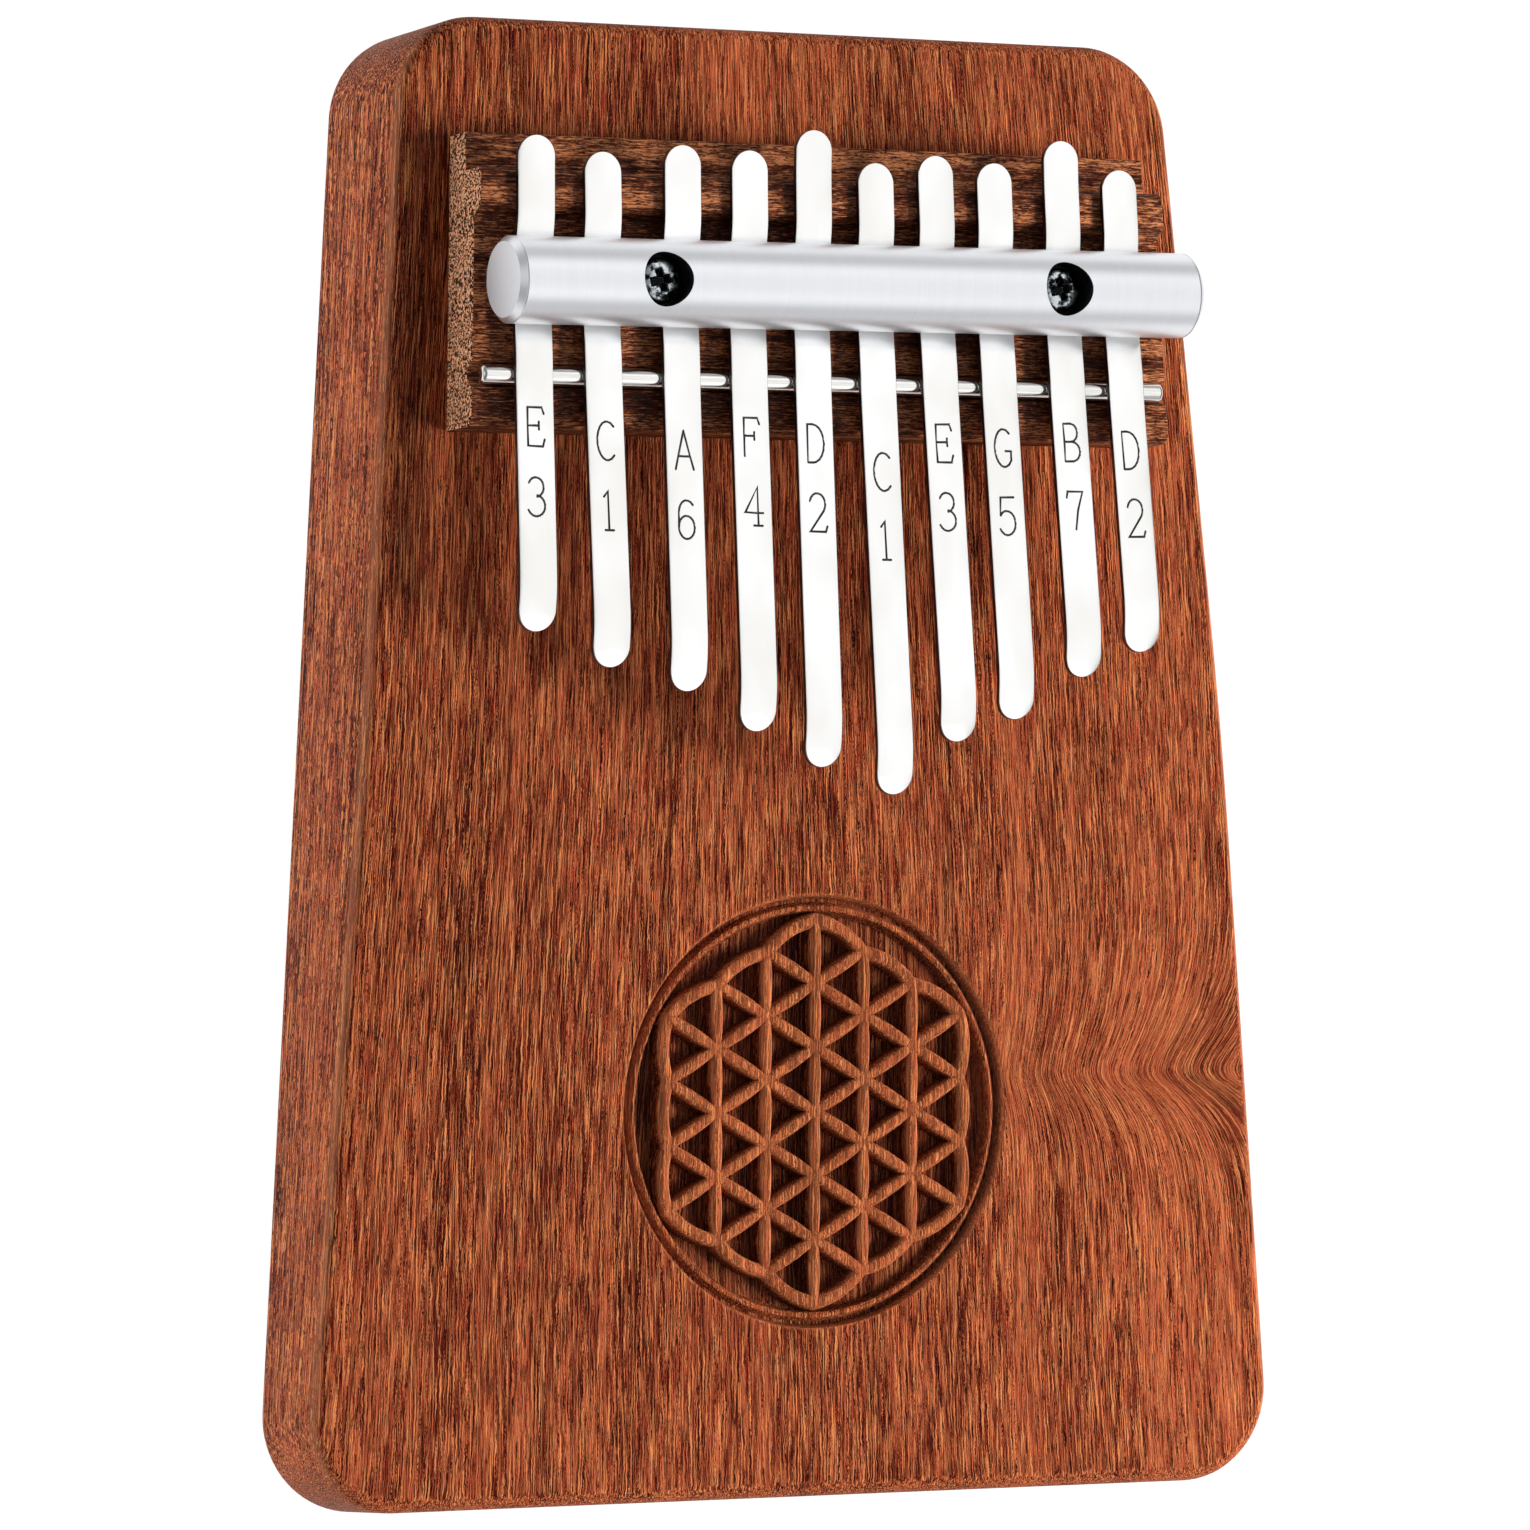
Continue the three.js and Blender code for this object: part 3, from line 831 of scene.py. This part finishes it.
def cell_loop(corners, outside, inset):
    """Points round a cell, inset from its ribs' middles. An outside cell's far side bows out."""
    middle = sum(corners, Vector((0, 0))) / 3
    ends = [c + (middle - c).normalized() * 2 * inset for c in corners]
    points = []
    for side in range(3):
        bow = OUTER_BULGE if outside and side == 1 else 0
        points += bowed_side(ends[side], ends[(side + 1) % 3], rib_swell(inset), bow)
    return points


def skirt_loop(cells, reach):
    """Points round the whole lattice, reach outside its outer ribs' middles, anticlockwise."""
    points = []
    for corners, _ in cells:
        run = corners[2] - corners[1]
        out = Vector((run.y, -run.x)).normalized()
        ends = []
        for corner in corners[1:]:
            at_tip = corner.length > (NODES_PER_SIDE - 0.01) * NODE_SPACING
            mitre = corner.normalized() / math.cos(math.pi / 6) if at_tip else out
            ends.append(corner + mitre * reach)
        points += bowed_side(*ends, 0, OUTER_BULGE + rib_swell(reach))
    return points


def add_lattice(surface, nodes):
    """Adds the carved lattice. Returns the loop where its outside meets the recess's floor."""
    cells = lattice_cells()

    def sunk(points, depth):
        """Those points of the rosette at that depth under the front, lower near a node of the lattice."""
        placed = []
        for p in points:
            nearest = min((p - node).length for node in nodes)
            dip = NODE_DIP * math.exp(-((nearest / NODE_DIP_REACH) ** 2)) * (1 - depth / ROSETTE_FLOOR)
            x, y = p.x + ROSETTE_CENTRE[0], p.y + ROSETTE_CENTRE[1]
            placed.append((x, y, front_height(y) - depth - dip))
        return placed

    for corners, outside in cells:
        loops = []
        for inset, depth in RIB_PROFILE:
            loops.append(surface.loop(sunk(cell_loop(corners, outside, inset), depth)))
        surface.bridges(loops)
        middle = sum(corners, Vector((0, 0))) / 3
        surface.fan(loops[-1], sunk([middle], ROSETTE_FLOOR)[0])
    outer = [cell for cell in cells if cell[1]]
    outer.sort(key=lambda cell: math.atan2(*(cell[0][1] + cell[0][2]).yx))
    loops = [surface.loop(sunk(skirt_loop(outer, reach), depth)) for reach, depth in RIB_PROFILE]
    surface.bridges(loops)
    return loops[-1]


def make_body():
    """The slab: flat back, rounded edges, and a front whose faces run in from the edge to the rosette."""
    surface = Surface()
    centre = Vector(ROSETTE_CENTRE)
    outline = body_outline()
    edge_steps = 6
    face_rings = 52

    def ring(inset, height):
        points = [p - n * inset for p, n in outline]
        return surface.loop([(p.x, p.y, height(p.y)) for p in points])

    edge = rounding(EDGE_RADIUS, edge_steps)
    back = [ring(inset, lambda y, lift=lift: lift) for inset, lift in edge]
    front = [ring(inset, lambda y, lift=lift: front_height(y) - lift) for inset, lift in edge]

    def circle(radius, depth):
        points = []
        for p, n in outline:
            out = (p - n * EDGE_RADIUS - centre).normalized()
            points.append(centre + out * radius)
        return [(p.x, p.y, front_height(p.y) - depth) for p in points]

    carved = [surface.loop(circle(radius, depth)) for radius, depth in ROSETTE_PROFILE]
    face = [front[0]]
    inner_edge = [Vector(surface.points[i]).xy for i in carved[0]]
    outer_edge = [Vector(surface.points[i]).xy for i in front[0]]
    for step in range(1, face_rings):
        points = [b.lerp(a, step / face_rings) for a, b in zip(inner_edge, outer_edge)]
        face.append(surface.loop([(p.x, p.y, front_height(p.y)) for p in points]))
    face.append(carved[0])
    surface.bridges(face)
    surface.bridges(carved)

    surface.bridges(front)
    surface.bridge(front[-1], back[-1])
    surface.bridges(back)
    back_rings = [back[0]]
    for share in (0.75, 0.5, 0.25):
        points = [(p - n * EDGE_RADIUS) * share for p, n in outline]
        back_rings.append(surface.loop([(p.x, p.y, 0) for p in points]))
    surface.bridges(back_rings)
    surface.fan(back_rings[-1], (0, 0, 0))

    nodes = {tuple(round(v, 4) for v in corner) for corners, _ in lattice_cells() for corner in corners}
    lattice_foot = add_lattice(surface, [Vector(n) for n in sorted(nodes)])
    surface.zip(lattice_foot, carved[-1], centre)
    fixed_piece(surface.piece("wooden_body", body_wood()), "body")


# ---- Saddle, wire, rod and screws ----


def screw_places():
    """(name, x, y, top) of each clamp screw."""
    for side in ("left", "right"):
        low, high = box_mm(f"clamp_screw_{side}")
        yield side, (low.x + high.x) / 2, (low.y + high.y) / 2, high.z


def make_saddle():
    """One block: a low step at the tine end, a ridge, a flat with the wire's groove and a chamfered end."""
    low, high = SADDLE_LOW.y, SADDLE_HIGH.y
    bottom = SADDLE_LOW.z - FRONT_Z
    wire_y = (WIRE_LOW.y + WIRE_HIGH.y) / 2
    groove = WIRE_RADIUS + 0.2
    chamfer = 0.9
    ridge_chamfer = 0.7
    step_length = 4.7
    ridge_start, ridge_end, slope_end = 5.4, 9.2, 10.4
    arc_steps = 14
    section = [
        (low, bottom),
        (high, bottom),
        (high, STEP_HEIGHT),
        (high - step_length, STEP_HEIGHT),
        (high - step_length, RIDGE_HEIGHT - ridge_chamfer),
        (high - ridge_start, RIDGE_HEIGHT),
        (high - ridge_end, RIDGE_HEIGHT),
        (high - slope_end, SADDLE_HEIGHT),
    ]
    for step in range(arc_steps + 1):
        turn = math.pi * step / arc_steps
        section.append((wire_y + groove * math.cos(turn), SADDLE_HEIGHT - groove * math.sin(turn)))
    section += [(low + chamfer, SADDLE_HEIGHT), (low, SADDLE_HEIGHT - chamfer)]

    half_at_low = SADDLE_HIGH.x
    surface = Surface()
    ends = []
    for side in (-1, 1):
        points = []
        for y, z in section:
            half_width = half_at_low - SADDLE_TAPER * (y - low) / (high - low)
            points.append((side * half_width, y, z + FRONT_Z))
        ends.append(surface.loop(points))
        surface.face(*ends[-1])
    surface.bridge(*ends)
    block = surface.piece("wooden_saddle", saddle_wood())
    holes = [drill(SCREW_HOLE_RADIUS, x, y, FRONT_Z - 1, FRONT_Z + 20) for _, x, y, _ in screw_places()]
    fixed_piece(finished(block, holes, bevel=0.22, segments=3), "saddle")


def make_wire():
    """A round wire whose cut ends are rounded."""
    half = (WIRE_HIGH.x - WIRE_LOW.x) / 2
    end_radius = 0.55
    turns = [math.pi / 2 * i / 6 for i in range(7)]
    end = [(WIRE_RADIUS - end_radius + end_radius * math.sin(t), half - end_radius + end_radius * math.cos(t))
           for t in turns]
    profile = [(0, half), *end, *[(r, -p) for r, p in reversed(end)], (0, -half)]
    centre = (WIRE_LOW + WIRE_HIGH) / 2
    wire = lathe(profile, 48, "X").piece("bridge_wire_steel", wire_steel(), place=Matrix.Translation(centre))
    fixed_piece(wire, "bridge_wire")


def make_rod():
    """A turned bar with chamfered ends, a fine groove at each chamfer and two counterbored screw holes."""
    half = ROD_LENGTH / 2
    ring_step = 1.5
    count = round((ROD_LENGTH - 2 * ROD_CHAMFER) / ring_step)
    rings = [half - ROD_CHAMFER - (ROD_LENGTH - 2 * ROD_CHAMFER) * i / count for i in range(count + 1)]
    rim = ROD_RADIUS - ROD_CHAMFER
    groove = [(ROD_RADIUS, rings[0]), (ROD_RADIUS - 0.07, rings[0] - 0.1), (ROD_RADIUS, rings[0] - 0.2)]
    profile = [(0, half), (rim * 0.6, half), (rim, half), *groove]
    profile += [(ROD_RADIUS, p) for p in rings[1:-1]]
    profile += [(radius, -p) for radius, p in reversed(groove)]
    profile += [(rim, -half), (rim * 0.6, -half), (0, -half)]
    centre = (ROD_LOW + ROD_HIGH) / 2
    place = Matrix.Translation(centre) @ Matrix.Rotation(ROD_SKEW, 4, "Z")
    # The rod's holes get a nearly black wall, which is painted shade.
    materials = (satin_aluminium(), shaded_bore_aluminium())
    rod = lathe(profile, 128, "X").piece("clamp_rod_aluminium", *materials, place=place)
    cutters = []
    for _, x, y, top in screw_places():
        seat = top - SCREW_HEAD_HEIGHT - 0.1
        cutters.append(drill(COUNTERBORE_RADIUS, x, y, seat, ROD_HIGH.z + 5, 96, materials))
        cutters.append(drill(SCREW_HOLE_RADIUS, x, y, ROD_LOW.z - 5, seat + 0.5, 32, materials))
    rod = finished(rod, cutters, sharp=32)
    fixed_piece(rod, "clamp_rod")


RECESS_TOP = (4.9, 1.75)  # length and width of a cross recess's bars, 1 mm above the screw's top
RECESS_BOTTOM = (1.6, 0.6)
RECESS_DEPTH = 1.3
RECESS_TURNS = (math.radians(107), math.radians(11))


def cross_arm(turn, place):
    """A cutter for one bar of a cross recess, whose four sides slope in as they go down."""
    surface = Surface()
    loops = []
    for (long, wide), z in ((RECESS_BOTTOM, -RECESS_DEPTH), (RECESS_TOP, 1)):
        corners = [(-long, -wide), (long, -wide), (long, wide), (-long, wide)]
        loops.append(surface.loop([(x / 2, y / 2, z) for x, y in corners]))
        surface.face(*loops[-1])
    surface.bridge(*loops)
    return surface.piece("arm", place=place @ Matrix.Rotation(turn, 4, "Z"))


def make_screws():
    """Domed heads with a flared cross recess, on shanks with a point."""
    neck = -SCREW_HEAD_HEIGHT
    dome_start = -0.85
    dome = [(SCREW_HEAD_RADIUS * math.sin(a), dome_start - dome_start * math.cos(a) * 0.95)
            for a in (math.pi / 2 * i / 10 for i in range(1, 10))]
    # The bevelled edges get the second material, a painted highlight.
    materials = (blackened_steel(), edge_highlight_steel())
    for side, x, y, top in screw_places():
        bottom = box_mm(f"clamp_screw_{side}")[0].z - top
        profile = [
            (0, -0.04),
            *dome,
            (SCREW_HEAD_RADIUS, dome_start),
            (SCREW_HEAD_RADIUS, neck + 0.15),
            (SCREW_HEAD_RADIUS - 0.15, neck),
            (SCREW_SHANK_RADIUS, neck),
            (SCREW_SHANK_RADIUS, bottom + 3),
            (0, bottom),
        ]
        place = Matrix.Translation((x, y, top))
        screw = lathe(profile, 72).piece(f"screw_{side}", *materials, place=place)
        arms = [cross_arm(turn, place) for turn in RECESS_TURNS]
        screw = finished(screw, arms, bevel=0.22, segments=2, edge_mark=1)
        fixed_piece(screw, f"clamp_screw_{side}")


# ---- Stamped marks: a stroke font in a box one wide and one high ----

ARC_STEP = 18  # degrees


def arc(x, y, half_width, half_height, start, end):
    """Points on part of an ellipse, from start to end degrees."""
    count = max(2, round(abs(end - start) / ARC_STEP))
    turns = [math.radians(start + (end - start) * i / count) for i in range(count + 1)]
    return [(x + half_width * math.cos(t), y + half_height * math.sin(t)) for t in turns]


GLYPHS = {
    "A": [[(0.02, 0), (0.48, 1)], [(0.48, 1), (0.98, 0)], [(0.2, 0.34), (0.8, 0.34)]],
    "B": [
        [(0.12, 1), *arc(0.5, 0.76, 0.36, 0.24, 90, -90), (0.12, 0.52)],
        [(0.12, 0.52), *arc(0.52, 0.26, 0.44, 0.26, 90, -90), (0.12, 0)],
        [(0.12, 0), (0.12, 1)],
    ],
    "C": [arc(0.56, 0.5, 0.52, 0.5, 48, 312)],
    "D": [[(0.08, 0), (0.08, 1)], [(0.08, 1), *arc(0.36, 0.5, 0.6, 0.5, 90, -90), (0.08, 0)]],
    "E": [
        [(0.94, 0.84), (0.86, 1), (0.1, 1), (0.1, 0), (0.88, 0), (0.97, 0.18)],
        [(0.1, 0.53), (0.68, 0.53)],
        [(0.68, 0.63), (0.68, 0.43)],
    ],
    "F": [
        [(0.94, 0.84), (0.86, 1), (0.12, 1), (0.12, 0)],
        [(0.12, 0.53), (0.66, 0.53)],
        [(0.66, 0.63), (0.66, 0.43)],
    ],
    "G": [[*arc(0.54, 0.5, 0.5, 0.5, 50, 318), (0.93, 0.42), (0.62, 0.42)]],
    "1": [[(0.28, 0.86), (0.5, 1), (0.5, 0)], [(0.3, 0), (0.74, 0)]],
    "2": [[*arc(0.5, 0.72, 0.42, 0.28, 165, -38), (0.08, 0), (0.92, 0), (1.0, 0.14)]],
    "3": [arc(0.46, 0.75, 0.4, 0.25, 155, -82), arc(0.46, 0.27, 0.46, 0.27, 82, -155)],
    "4": [[(0.74, 0), (0.74, 1), (0.04, 0.33), (1.0, 0.33)], [(0.5, 0), (0.96, 0)]],
    "5": [[(0.9, 1), (0.18, 1), (0.14, 0.52)], [(0.14, 0.52), *arc(0.48, 0.32, 0.46, 0.32, 125, -150)]],
    "6": [[*arc(0.54, 0.68, 0.42, 0.32, 40, 180), *arc(0.52, 0.3, 0.42, 0.3, 180, 540)]],
    "7": [[(0.04, 0.84), (0.1, 1), (0.95, 1), (0.62, 0.5), (0.46, 0)]],
}
GLYPH_WIDTH = 2.55
GLYPH_HEIGHT = 4.7
MARK_HALF_TOP = 0.15  # half the width of a stamped line at the surface
MARK_HALF_FLOOR = 0.075
MARK_DEPTH = 0.09

# Each tine's note and step of the scale, left to right, and how far its letter's middle is below the wire.
MARKS = [
    ("E", "3", 6.4), ("C", "1", 7.9), ("A", "6", 8.8), ("F", "4", 7.0), ("D", "2", 7.6),
    ("C", "1", 10.9), ("E", "3", 7.2), ("G", "5", 7.6), ("B", "7", 6.7), ("D", "2", 7.5),
]
NUMBER_DROP = 8.45  # from a letter's middle to its number's


def glyph_strokes(character, middle_y):
    """The glyph's strokes as lists of points on a tine, upright and centred on middle_y."""
    return [
        [Vector(((x - 0.52) * GLYPH_WIDTH, (y - 0.5) * GLYPH_HEIGHT + middle_y)) for x, y in stroke]
        for stroke in GLYPHS[character]
    ]


def stroke_outline(stroke, half):
    """A closed line round a stroke, half away from it, with round ends."""
    directions = [(b - a).normalized() for a, b in zip(stroke, stroke[1:])]
    sides = []
    for i, point in enumerate(stroke):
        before = directions[max(0, i - 1)]
        after = directions[min(i, len(directions) - 1)]
        bisector = (before + after).normalized()
        reach = half / max(0.5, bisector.dot(after))
        sides.append((point, Vector((-bisector.y, bisector.x)) * reach))
    outline = [point + out for point, out in sides]
    for end, direction in ((stroke[-1], directions[-1]), (stroke[0], -directions[0])):
        start = math.atan2(direction.x, -direction.y)
        outline += [polar(end, half, start - math.pi * i / 4) for i in range(1, 4)]
        if end is stroke[-1]:
            outline += [point - out for point, out in reversed(sides)]
    return outline


def distance_to(strokes, point):
    """How far the point is from the nearest stroke."""
    nearest = math.inf
    for stroke in strokes:
        for a, b in zip(stroke, stroke[1:]):
            run = b - a
            part = min(1, max(0, (point - a).dot(run) / run.length_squared))
            nearest = min(nearest, (a + run * part - point).length)
    return nearest


# ---- Tines ----


def interpolate(line, y):
    """Height at y on a line of (y, height) points."""
    if y <= line[0][0]:
        return line[0][1]
    for (y0, z0), (y1, z1) in zip(line, line[1:]):
        if y <= y1:
            return z0 + (z1 - z0) * (y - y0) / (y1 - y0)
    return line[-1][1]


CONTACT_GAP = 0.1
TINE_AT_WIRE = SADDLE_HEIGHT + WIRE_RADIUS + CONTACT_GAP
TINE_AT_ROD = SADDLE_HEIGHT + 0.85
TINE_AT_RIDGE = RIDGE_HEIGHT + CONTACT_GAP
TAIL_LINE = [
    (1.6, TINE_AT_WIRE),
    (9.5, TINE_AT_ROD),
    (12.5, TINE_AT_ROD),
    (19.0, TINE_AT_RIDGE),
    (25.4, TINE_AT_RIDGE),
    (32.0, TINE_AT_RIDGE + 0.4),
]
BLADE_FLAT = 1.6


def tine_height(y, free):
    """Underside of a tine above the front face, with its bends softened."""
    def exact(at):
        if at >= 0:
            return interpolate(TAIL_LINE, at)
        rise = TINE_RISE * max(0, -BLADE_FLAT - at)
        bend = max(0, (TIP_DROOP_LENGTH - free - at) / TIP_DROOP_LENGTH)
        return TINE_AT_WIRE + rise - (TIP_DROOP + TINE_RISE * TIP_DROOP_LENGTH) * bend * bend
    softening = (-1.0, -0.5, 0, 0.5, 1.0)
    return sum(exact(y + offset) for offset in softening) / len(softening)


def tine_outline(free, tail):
    """(point, outward direction) pairs round a strip with half-round ends, anticlockwise."""
    radius = TINE_WIDTH / 2
    end_steps = 20
    side_step = 1.0
    pairs = []
    for centre_y, start in ((radius - free, -math.pi), (tail - radius, 0)):
        centre = Vector((0, centre_y))
        for i in range(end_steps + 1):
            turn = start + math.pi * i / end_steps
            normal = Vector((math.cos(turn), math.sin(turn)))
            pairs.append((centre + normal * radius, normal))
        side = 1 if start < 0 else -1
        first, last = radius - free, tail - radius
        if side < 0:
            first, last = last, first
        between = along(Vector((side * radius, first)), Vector((side * radius, last)), side_step)
        pairs += [(p, Vector((side, 0))) for p in between]
    return pairs


def tine_cap(surface, outline, height, strokes, clear):
    """Fills the outline and presses the strokes into it. clear is the range of y without cross lines."""
    points = list(outline)
    count = len(points)
    edges = [(i, (i + 1) % count) for i in range(count)]
    right = {round(p.y, 3): i for i, p in enumerate(points) if p.x > 0.01}
    for i, p in enumerate(points):
        across = right.get(round(p.y, 3))
        if p.x < -0.01 and across is not None and not clear[0] < p.y < clear[1]:
            edges.append((i, across))
    for stroke in strokes:
        for half in (MARK_HALF_TOP, MARK_HALF_FLOOR):
            line = stroke_outline(stroke, half)
            start = len(points)
            points += line
            edges += [(start + i, start + (i + 1) % len(line)) for i in range(len(line))]
    flat, _, faces, _, _, _ = delaunay_2d_cdt(points, edges, [], 1, 1e-4)

    def pressed(point):
        if not strokes or not clear[0] < point.y < clear[1]:
            return 0
        share = (MARK_HALF_TOP - distance_to(strokes, point)) / (MARK_HALF_TOP - MARK_HALF_FLOOR)
        return min(1, max(0, share))

    corners = surface.loop([(p.x, p.y, height(p.y) - MARK_DEPTH * pressed(p)) for p in flat])
    for face in faces:
        middle = sum((flat[i] for i in face), Vector((0, 0))) / len(face)
        # Faces down in a stroke get the stamped material, painted dark as the groove's shade.
        mark = 1 if pressed(middle) > 0.35 else 0
        surface.face(*[corners[i] for i in face], mark=mark, smooth=not clear[0] < middle.y < clear[1])


def make_tine(number, joint, materials):
    """One continuous strip that bends over the wire, where its CAD tail and blade meet."""
    name = f"tine_{number:02d}"
    across = Vector(joint["axis"])
    lengthwise = Vector((-across.y, across.x, 0))
    place = Matrix((across, lengthwise, (0, 0, 1))).transposed().to_4x4()
    hinge = Vector(joint["pos_m"]) / MM
    place.translation = (hinge.x, hinge.y, FRONT_Z)
    to_tine = place.inverted()
    nodes = frame["nodes"]
    free = -min((to_tine @ (v.co / MM)).y for v in nodes[f"{name}_blade"].data.vertices)
    tail = max((to_tine @ (v.co / MM)).y for v in nodes[f"{name}_tail"].data.vertices)

    letter, digit, drop = MARKS[number - 1]
    strokes = glyph_strokes(letter, -drop) + glyph_strokes(digit, -drop - NUMBER_DROP)
    margin = GLYPH_HEIGHT / 2 + 0.6
    clear = (-drop - NUMBER_DROP - margin, -drop + margin)
    outline = tine_outline(free, tail)
    surface = Surface()
    edge_steps = 3
    edge = rounding(TINE_EDGE, edge_steps)
    levels = edge + [(inset, TINE_THICKNESS - lift) for inset, lift in reversed(edge)]
    loops = []
    for inset, level in levels:
        points = [p - n * inset for p, n in outline]
        loops.append(surface.loop([(p.x, p.y, tine_height(p.y, free) + level) for p in points]))
    for first, second in zip(loops, loops[1:]):
        upright = (first, second) == (loops[edge_steps], loops[edge_steps + 1])
        surface.bridge(first, second, mark=2 if upright else 0)
    inner = [p - n * TINE_EDGE for p, n in outline]
    tine_cap(surface, inner, lambda y: tine_height(y, free), [], (0, 0))
    tine_cap(surface, inner, lambda y: tine_height(y, free) + TINE_THICKNESS, strokes, clear)
    tine = surface.piece(name, *materials, place=place, sharp=28)
    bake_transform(tine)
    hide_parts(f"{name}_tail", f"{name}_blade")


def make_tines():
    """All ten tines, each placed at the hinge that the CAD model gives it."""
    materials = (spring_steel(), stamped_steel(), sheared_steel())
    hinges = {joint["name"]: joint for joint in frame["joints"]}
    for number in range(1, len(MARKS) + 1):
        make_tine(number, hinges[f"tine_{number:02d}_pluck"], materials)


def make_floor():
    """A disc of table under the object."""
    profile = [(0, 0), (400, 0), (2500, 0), (2500, -20), (0, -20)]
    lathe(profile, 96).piece("floor", pale_floor(), place=Matrix.Translation((0, 0, -0.02)))


make_camera()
make_lights()
make_floor()
make_body()
make_saddle()
make_wire()
make_rod()
make_screws()
make_tines()
